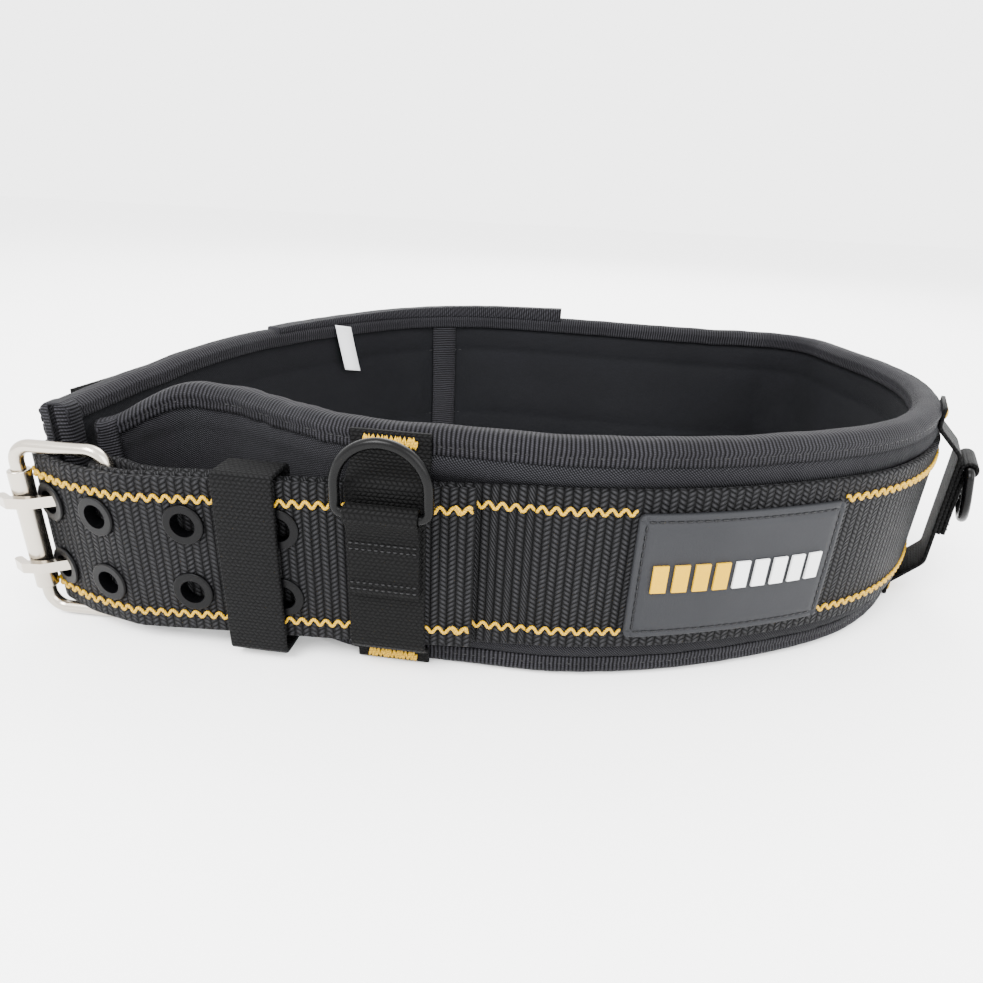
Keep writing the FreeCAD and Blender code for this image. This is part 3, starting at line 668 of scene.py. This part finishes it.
# the inner leg, from its sewn end to the heel bar, then the fold, then the front run
for s in spread(HEEL_S + INNER_LEG, HEEL_S, 2.0):
    away = (s - HEEL_S) / 24.0
    depth = MAIN_DEPTH + WEB_THICK + 0.05 + 4.15 * (1 - smooth(away)) + WEB_THICK
    x, y, heading = front_path.at(s, depth)
    a = math.radians(heading)
    stations.append((x, y, math.sin(a), -math.cos(a), front_low(x), FRONT_AT - TURN - (s - HEEL_S)))
a0 = math.radians(HEEL[2] + 90)
for k in range(1, 12):
    a = a0 + math.pi * k / 12
    stations.append((HEEL[0] + FOLD_R * math.cos(a), HEEL[1] + FOLD_R * math.sin(a), -math.cos(a),
                     -math.sin(a), WEB_LOW - DROOP, FRONT_AT - TURN + TURN * k / 12))
for s in spread(HEEL_S, run_end, 2.0)[:-1]:
    waver = wobble(s - run_end, WEB_WOBBLE_Z) * smooth((s - HEEL_S - 20) / 30)
    x, y, heading = front_path.at(s, MAIN_DEPTH + waver)
    a = math.radians(heading)
    stations.append((x, y, -math.sin(a), math.cos(a), front_low(x), FRONT_AT + (s - HEEL_S)))
stations += stations_on(ring, 0.0, ring.length - 1.0, 0.0, along_belt)
belt_web = band("belt_web", stations)
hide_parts("belt_webbing")

tongue_stations = stations_on(ring, ring.length - 2.5, ring.length - 0.5, 0.05, along_belt, 1.0)
tongue_stations += [(x, y, ix, iy, low, s + ring.length) for x, y, ix, iy, low, s in
                    stations_on(tongue, 0.0, tongue.length - 0.4, 0.0, along_front, 0.9)]
tongue_web = band("tongue_web", tongue_stations)


def eyelet_z(index, row):
    x = tongue.at(column_s(index))[0]
    return WEB_LOW + WEB_WIDTH / 2 - droop(x) + (row - 0.5) * ROW_SPACING


def cylinder_between(bm, start, finish, radius, segments=32):
    axis = Vector(finish) - Vector(start)
    turn = axis.to_track_quat("Z", "Y").to_matrix().to_4x4()
    middle = (Vector(start) + Vector(finish)) / 2
    bmesh.ops.create_cone(bm, cap_ends=True, segments=segments, radius1=radius, radius2=radius,
                          depth=axis.length, matrix=Matrix.Translation(middle) @ turn)


def metres(p):
    return Vector(((p[0] + SHIFT[0]) / 1000, (p[1] + SHIFT[1]) / 1000, p[2] / 1000))


HOLE_RADIUS = 0.0043  # metres
cutter_mesh = bpy.data.meshes.new("holes")
bm = bmesh.new()
for index in range(4):
    s = column_s(index)
    for row in (0, 1):
        z = eyelet_z(index, row)
        a = metres((*tongue.at(s, -4.0)[:2], z))
        b = metres((*tongue.at(s, 7.0)[:2], z))
        cylinder_between(bm, a, b, HOLE_RADIUS)
bm.to_mesh(cutter_mesh)
bm.free()
cutter = bpy.data.objects.new("holes", cutter_mesh)
bpy.context.scene.collection.objects.link(cutter)
cut = tongue_web.modifiers.new("holes", "BOOLEAN")
cut.object = cutter
cut.operation = "DIFFERENCE"
cut.solver = "EXACT"
bpy.context.view_layer.update()
graph = bpy.context.evaluated_depsgraph_get()
holed = bpy.data.meshes.new_from_object(tongue_web.evaluated_get(graph), preserve_all_data_layers=True,
                                        depsgraph=graph)
tongue_web.modifiers.clear()
tongue_web.data = holed
bpy.data.objects.remove(cutter)
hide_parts("eyelet_tongue")


# --- wave stitching -------------------------------------------------------------------------------
WAVE = 3.7
WAVE_HALF = 0.85
THREAD_R = 0.50


def wave_line(path, s0, s1, low, height, offset=0.0):
    """A zigzag of thread on the outer face, dipping into the cloth where each stitch ends."""
    line = []
    count = int((s1 - s0) / (WAVE / 12))
    for i in range(count + 1):
        s = s0 + (s1 - s0) * i / count
        turn = (s / WAVE) % 1.0
        swing = 1 - 4 * abs(turn - 0.5)
        swing = max(-0.8, min(0.8, swing * 1.25)) / 0.8
        dip = 0.30 * (1 - min(1.0, abs(abs(turn - 0.5) - 0.25) * 14)) - 0.1
        x, _, _ = path.at(s)
        uneven = 0.12 * noise.noise(Vector((s / 2.1, height, 2.0)))
        px, py, _ = path.at(s, -0.28 + dip + wobble(s + offset, WEB_WOBBLE_Z))
        line.append((px, py, low(x, s) + height + swing * WAVE_HALF + uneven))
    return line


PATCH_S = (28.0, 93.0)
belt_lines = []
tongue_lines = []
for height in (STITCH_INSET, WEB_WIDTH - STITCH_INSET):
    belt_lines.append(wave_line(pad, RING_AT - 16.0, RING_AT - 0.1, lambda x, s: WEB_LOW, height, -RING_AT))
    belt_lines.append(wave_line(ring, 0.2, PATCH_S[0] - 0.6, along_belt, height))
    belt_lines.append(wave_line(ring, PATCH_S[1] + 0.6, ring.length - 0.5, along_belt, height))
    tongue_lines.append(wave_line(tongue, 0.3, tongue.length - 1.0, along_front, height))
    # a second pass of stitching holds the tongue's end
    extra = wave_line(tongue, tongue.length - 6.5, tongue.length - 1.6, along_front, height)
    tongue_lines.append([(x + 0.5, y - 0.35, z + 0.55) for x, y, z in extra])
belt_wave = tube("belt_wave_stitch", belt_lines, THREAD_R, GOLD)
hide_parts("wave_stitching_belt")
tongue_wave = tube("tongue_wave_stitch", tongue_lines, THREAD_R, GOLD)
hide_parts("wave_stitching_tongue")


# --- keeper ---------------------------------------------------------------------------------------
KEEPER_X = -89.0
KEEPER_WIDE = 17.4
KEEPER_THICK = 1.4
keeper_out = tongue.end[1] - 0.8 - 0.4 - KEEPER_THICK
keeper_in = tongue.end[1] + MAIN_DEPTH + 2 * WEB_THICK + 0.45 + KEEPER_THICK
keeper_low = WEB_LOW - droop(KEEPER_X) - 5.0
keeper_high = WEB_LOW + WEB_WIDTH - droop(KEEPER_X) + 1.6 + KEEPER_THICK
keeper_rings = []
path_points = rounded(keeper_out, keeper_in, keeper_low, keeper_high, 2.3, 2.5, 5)
keeper_section = rounded(0.0, KEEPER_THICK, -KEEPER_WIDE / 2, KEEPER_WIDE / 2, 0.5, 4.0)
count = len(path_points)
for i, (yy, zz) in enumerate(path_points):
    before, after = path_points[i - 1], path_points[(i + 1) % count]
    tangent = Vector((0, after[0] - before[0], after[1] - before[1])).normalized()
    inward = Vector((1, 0, 0)).cross(tangent)
    centre = Vector((KEEPER_X, yy, zz))
    sag = 0.25 * math.sin(math.pi * (zz - keeper_low) / (keeper_high - keeper_low))
    section = []
    for t, u in keeper_section:
        flare = 1.0 + 0.015 * noise.noise(Vector((zz / 9.0, 1.0, 5.0)))
        section.append(centre + Vector((u * flare, 0, 0)) + inward * (t - sag * 0.3))
    keeper_rings.append(section)
keeper_across = lengths(keeper_section)
keeper_along = lengths(path_points)
# the first colour is painted shade in the weave's gaps, the second the lit crests
KEEPER_WEAVE = woven("keeper_weave", (0.0004, 0.0004, 0.0004), (0.0056, 0.0056, 0.0060), 1.15, 1.5, 0.5,
                     0.00022)
keeper = loft("keeper_band", keeper_rings, keeper_along, keeper_across, "keeper", KEEPER_WEAVE, loop=True)
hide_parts("keeper_loop")


# --- D-ring straps and loops ----------------------------------------------------------------------
FRONT_NEAR_X = -49.5
STATION_S = {"back_near": 170.0, "back_far": 309.0, "front_far": 697.0}
# How far a strap stands off the webbing, and the heights where its bow starts, is full, thins and ends.
STRAPS = {"front_near": (3.9, 5.2, 9.2, 61.6, 65.6),
          "back_near": (6.0, 6.0, 17.0, 58.4, 66.8),
          "back_far": (6.0, 6.0, 17.0, 58.4, 66.8),
          "front_far": (0.8, 5.2, 7.4, 63.2, 66.8)}
BAR_HEIGHT = 54.0
STRAP_WIDE, STRAP_THICK = 22.0, 1.3
LOOP_WIDE, LOOP_THICK = 20.0, 1.25
STRAP_FACE = -2.7
STRAP_TOP = 74.0
TACK_HALF = 7.5


def station(name):
    if name == "front_near":
        x, y, heading = FRONT_NEAR_X, RING_START[1], 0.0
    else:
        x, y, heading = ring.at(STATION_S[name])
    a = math.radians(heading)
    return Vector((x, y, 0)), Vector((math.cos(a), math.sin(a), 0)), Vector((math.sin(a), -math.cos(a), 0))


def eased(points, reach=1.6):
    """Rounds a polyline's corners with short curves."""
    line = [Vector(points[0])]
    for before, here, after in zip(points, points[1:], points[2:]):
        here, before, after = Vector(here), Vector(before), Vector(after)
        a = here + (before - here).normalized() * min(reach, (before - here).length * 0.45)
        b = here + (after - here).normalized() * min(reach, (after - here).length * 0.45)
        for k in range(5):
            t = k / 4
            line.append(a * (1 - t) ** 2 + here * 2 * t * (1 - t) + b * t * t)
    line.append(Vector(points[-1]))
    dense = []
    for a, b in zip(line, line[1:]):
        for t in spread(0.0, 1.0, min(1.0, 2.5 / max(0.01, (b - a).length)))[:-1]:
            dense.append(a + (b - a) * t)
    return dense + [line[-1]]


def upright_band(name, origin, along, out, line, width, thick, material):
    """A narrow webbing band whose middle follows a line of (outwards, height) points."""
    rings = []
    outline = rounded(-thick / 2, thick / 2, -width / 2, width / 2, thick * 0.38, 4.0)
    total = 0.0
    marks = []
    for i, p in enumerate(line):
        before, after = line[max(0, i - 1)], line[min(len(line) - 1, i + 1)]
        tangent = (after - before).normalized()
        normal = Vector((tangent.y, -tangent.x))
        total += (p - line[i - 1]).length if i else 0.0
        marks.append(total)
        ring_points = []
        for t, u in outline:
            q = p + normal * t
            bowed = 1.0 + 0.01 * noise.noise(Vector((total / 8.0, 0.0, len(name) * 1.0)))
            ring_points.append(origin + along * (u * bowed) + out * q.x + Vector((0, 0, q.y)))
        rings.append(ring_points)
    return loft(name, rings, marks, lengths(outline), "belt", material)


def zigzag(origin, along, out, face, low, high, half, teeth):
    line = []
    for k in range(teeth * 2 + 1):
        for step in range(4):
            t = (k + step / 4) / (teeth * 2 + 1)
            up = step / 4 if k % 2 == 0 else 1 - step / 4
            z = low + (high - low) * up
            rise = 0.14 * math.sin(math.pi * step / 4) + 0.1 * noise.noise(Vector((t * 30, low, 0)))
            p = origin + along * (half * (2 * t - 1)) + out * (face + rise) + Vector((0, 0, z))
            line.append(tuple(p))
    return line


tack_lines = []
seam_lines = []
for name in ("front_near", "back_near", "back_far", "front_far"):
    origin, along, out = station(name)
    inner, bow_low, bow_high, top_low, top_high = STRAPS[name]
    face = STRAP_FACE
    half = STRAP_THICK / 2
    # the strap's top and tack go down with the pad's edge
    sunk = STRAP_TOP - fallen(RING_AT + STATION_S.get(name, 0.0), STRAP_TOP)
    strap_line = eased([(face + half, 1.0), (face + half, bow_low), (inner + half, bow_high + 0.3),
                        (inner + half, top_low), (face + half, top_high + 0.2 - sunk * 0.7),
                        (face + half, STRAP_TOP - sunk)])
    strap = upright_band("strap_" + name, origin, along, out, strap_line, STRAP_WIDE, STRAP_THICK, NARROW)
    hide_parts("dring_strap_" + name)
    at = inner + STRAP_THICK
    bar = at + 3.1
    loop_line = [Vector((at + 0.75, z)) for z in spread(29.0, 52.4, 2.5)]
    for k in range(0, 15):
        a = math.radians(180 - 15 * k)
        loop_line.append(Vector((bar + 2.25 * math.cos(a), BAR_HEIGHT + 2.25 * math.sin(a))))
        tail = loop_line[-1]
    for t in (0.2, 0.4, 0.6, 0.8, 1.0):
        end = Vector((at + 2.1, 46.5))
        ease = tail * (1 - t) ** 2 + Vector((at + 2.4, 50.3)) * 2 * t * (1 - t) + end * t * t
        loop_line.append(ease)
    loop_line += [Vector((at + 2.1, z)) for z in spread(45.0, 29.2, 2.5)]
    loop = upright_band("loop_" + name, origin, along, out, loop_line, LOOP_WIDE, LOOP_THICK, NARROW)
    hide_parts("dring_loop_" + name)
    for z0, z1 in ((1.3, 4.7), (69.8 - sunk, 72.8 - sunk)):
        tack_lines.append(zigzag(origin, along, out, face + STRAP_THICK + 0.25, z0, z1, TACK_HALF, 12))
        tack_lines.append(zigzag(origin, along, out, face + STRAP_THICK + 0.40, z0 + 0.4, z1 - 0.2, 7.3, 8))
    for z in (45.2, 43.4, 33.0, 31.0):
        for k in range(-5, 6):
            a = origin + along * (k * 1.75 - 0.55) + out * (at + 2.8) + Vector((0, 0, z))
            b = origin + along * (k * 1.75 + 0.55) + out * (at + 2.8) + Vector((0, 0, z))
            middle = (a + b) / 2 + out * 0.12
            seam_lines.append([tuple(a), tuple(a * 0.5 + middle * 0.5 + out * 0.05), tuple(middle),
                               tuple(b * 0.5 + middle * 0.5 + out * 0.05), tuple(b)])
tacks = tube("bar_tack_threads", tack_lines, 0.34, GOLD)
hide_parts("bar_tacks")
seams = tube("loop_stitches", seam_lines, 0.22, BLACK_THREAD)


# --- black seams of the padded belt ---------------------------------------------------------------
def dashes(path, s0, s1, pitch, dash, where):
    """Short stitches; where(s) gives depth and height."""
    lines = []
    s = s0
    while s < s1:
        points = []
        for k in range(5):
            t = s + dash * k / 4
            depth, z, side = where(t)
            bow = 0.16 * math.sin(math.pi * k / 4) - 0.06
            x, y, _ = path.at(t, depth + side * bow)
            points.append((x, y, fallen(t, z) if path is pad else z))
        lines.append(points)
        s += pitch
    return lines


tape_seams = []
for high in (False, True):
    z = TAPE_LAP - 2.4
    z = PAD_HEIGHT - z if high else z
    tape_seams += dashes(pad, 9.0, pad.length - 9.0, 2.9, 2.1, lambda s: (3.05 + wobble(s, z), z, -1))
    tape_seams += dashes(pad, 9.0, pad.length - 9.0, 2.9, 2.1, lambda s: (10.85 + wobble(s, z), z, 1))
for z in GROOVES:
    tape_seams += dashes(pad, 9.0, pad.length - 9.0, 3.1, 2.3, lambda s: (9.5 + wobble(s, z), z, 1))
pad_seams = tube("pad_seams", tape_seams, 0.24, BLACK_THREAD, sides=5)


# --- patch, emblem, label -------------------------------------------------------------------------
PATCH_Z = (17.2, 56.2)
PATCH_MIDDLE = sum(PATCH_S) / 2
PATCH_MIDDLE_Z = sum(PATCH_Z) / 2
# How far in from the patch's edge, and how proud of the webbing there.
RIM = [(0.0, 1.35), (0.35, 1.7), (0.9, 1.8), (1.5, 1.78), (1.75, 1.42), (2.3, 1.40), (2.55, 1.76),
       (4.5, 1.78)]


def patch_lines(length):
    """Grid lines across the patch: close together at the rim, with the rim's heights."""
    half = length / 2
    inner = spread(RIM[-1][0], half, 3.0)[1:-1]
    side = [(inset, proud) for inset, proud in RIM] + [(inset, RIM[-1][1]) for inset in inner]
    near = [(-half + i, p) for i, p in side]
    far = [(half - i, p) for i, p in reversed(side)]
    return near + [(0.0, RIM[-1][1])] + far


def patch_mesh():
    """A moulded plate with softened corners, a rim and a stitching groove."""
    us = patch_lines(PATCH_S[1] - PATCH_S[0])
    ws = patch_lines(PATCH_Z[1] - PATCH_Z[0])
    far_u, far_w = us[-1][0], ws[-1][0]
    front = []
    back = []
    flat = []
    for u, pu in us:
        for w, pw in ws:
            corner = min(1.0, max(0.0, abs(u) - far_u + 1.4) * max(0.0, abs(w) - far_w + 1.4) / 1.96)
            pull = 0.45 * corner
            pu_, pw_ = u - math.copysign(pull, u), w - math.copysign(pull, w)
            uneven = wobble(PATCH_MIDDLE + u, PATCH_MIDDLE_Z + w)
            s = PATCH_MIDDLE + pu_
            z = PATCH_MIDDLE_Z + pw_
            front.append((*ring.at(s, -min(pu, pw) + uneven)[:2], z))
            back.append((*ring.at(s, -0.05 + uneven)[:2], z))
            flat.append((u, w))
    rows = len(ws)
    verts = front + back
    size = len(front)
    faces = []
    for i in range(len(us) - 1):
        for j in range(rows - 1):
            quad = (i * rows + j, (i + 1) * rows + j, (i + 1) * rows + j + 1, i * rows + j + 1)
            faces.append(quad)
            faces.append(tuple(size + k for k in reversed(quad)))
    border = [i * rows for i in range(len(us))] + [(len(us) - 1) * rows + j for j in range(1, rows)]
    border += [i * rows + rows - 1 for i in range(len(us) - 2, -1, -1)] + list(range(rows - 2, 0, -1))
    for a, b in zip(border, border[1:] + border[:1]):
        faces.append((a, size + a, size + b, b))
    uvs = [flat[k % size] for face in faces for k in face]
    return build("rubber_plate", verts, faces, uvs, "belt", PATCH)


plate = patch_mesh()
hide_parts("rubber_patch")

rim_lines = []
for z in (PATCH_Z[0] + 2.02, PATCH_Z[1] - 2.02):
    rim_lines += dashes(ring, PATCH_S[0] + 2.6, PATCH_S[1] - 3.4, 2.6, 1.9,
                        lambda s: (-1.55 + wobble(s, z), z, -1))
for s in (PATCH_S[0] + 2.02, PATCH_S[1] - 2.02):
    z = PATCH_Z[0] + 2.8
    while z < PATCH_Z[1] - 4.0:
        rim_lines.append([(*ring.at(s, -1.55 + wobble(s, z) - 0.16 * math.sin(math.pi * k / 4))[:2],
                           z + 1.9 * k / 4) for k in range(5)])
        z += 2.6
rim = tube("patch_stitches", rim_lines, 0.22, BLACK_THREAD, sides=5)

LABEL_S = 572.0
LABEL_TALL = 22.0
LABEL_LOW = 51.0
LABEL_LEAN = math.radians(12)
label_rings = []
label_marks = spread(0.0, LABEL_TALL, 1.0)
for v in label_marks:
    curl = 1.5 * (1 - v / LABEL_TALL) ** 2
    lean = -(LABEL_TALL - v) * math.sin(LABEL_LEAN)
    row = []
    for u, d in ((-5.0, 0.0), (-5.0, -0.22), (0.0, -0.3), (5.0, -0.22), (5.0, 0.0), (0.0, -0.08)):
        s = LABEL_S + u * math.cos(LABEL_LEAN) + lean
        z = LABEL_LOW + v + u * math.sin(LABEL_LEAN) * 0.9
        row.append((*ring.at(s, 12.6 - d + curl * 0.5)[:2], z))
    label_rings.append(row)
label_across = [0.0, 0.2, 5.2, 10.2, 10.4, 15.4, 20.4]
label = loft("white_label", label_rings, label_marks, label_across, "belt", LABEL)
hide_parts("care_label")


# --- finishes of the CAD's hard pieces ------------------------------------------------------------
for node in ("buckle_frame", "buckle_roller", "prong_lower", "prong_upper"):
    give(node, NICKEL)
for name in ("front_near", "back_near", "back_far", "front_far"):
    give("dring_" + name, BLACK_METAL)
give("eyelets", EYELET_METAL)
give("eyelet_washers", EYELET_METAL)
give("emblem_bars_yellow", YELLOW)
give("emblem_bars_white", WHITE)


# --- floor, light and camera ----------------------------------------------------------------------
floor_mesh = bpy.data.meshes.new("floor")
floor_mesh.from_pydata([(-6, -6, 0), (6, -6, 0), (6, 6, 0), (-6, 6, 0)], [], [(0, 1, 2, 3)])
floor = bpy.data.objects.new("floor", floor_mesh)
bpy.context.scene.collection.objects.link(floor)
floor_mesh.materials.append(Nodes("floor_white").finish((0.95, 0.95, 0.95), 0.9))

world = bpy.data.worlds.new("studio")
bpy.context.scene.world = world
world.use_nodes = True
background = world.node_tree.nodes["Background"]
background.inputs["Color"].default_value = (1.0, 1.0, 1.0, 1.0)
background.inputs["Strength"].default_value = 4.2


def lamp(name, where, target, size, power):
    """A square lamp; size in metres, power in watts."""
    data = bpy.data.lights.new(name, "AREA")
    data.size = size
    data.energy = power
    obj = bpy.data.objects.new(name, data)
    bpy.context.scene.collection.objects.link(obj)
    obj.location = where
    obj.rotation_euler = (Vector(target) - Vector(where)).to_track_quat("-Z", "Y").to_euler()


lamp("key", (-0.5, -0.9, 1.2), (0.0, -0.05, 0.03), 0.7, 50.0)
lamp("fill", (0.9, -0.8, 0.7), (0.05, -0.05, 0.03), 0.9, 20.0)
lamp("back", (0.1, 1.0, 1.1), (0.0, 0.0, 0.05), 0.9, 26.0)

CAMERA_AT = (0.007948, -0.266547, 0.129)
LENS_MM = 23.80468
camera_data = bpy.data.cameras.new("camera")
camera = bpy.data.objects.new("camera", camera_data)
bpy.context.scene.collection.objects.link(camera)
camera_data.sensor_width = 36.0
camera_data.lens = LENS_MM
camera_data.clip_start = 0.01
yaw, pitch, roll = math.radians(6.0), math.radians(23.6), math.radians(3.0)
turn = Matrix.Rotation(yaw, 4, "Z") @ Matrix.Rotation(math.radians(90) - pitch, 4, "X")
camera.matrix_world = Matrix.Translation(CAMERA_AT) @ turn @ Matrix.Rotation(roll, 4, "Z")
bpy.context.scene.camera = camera
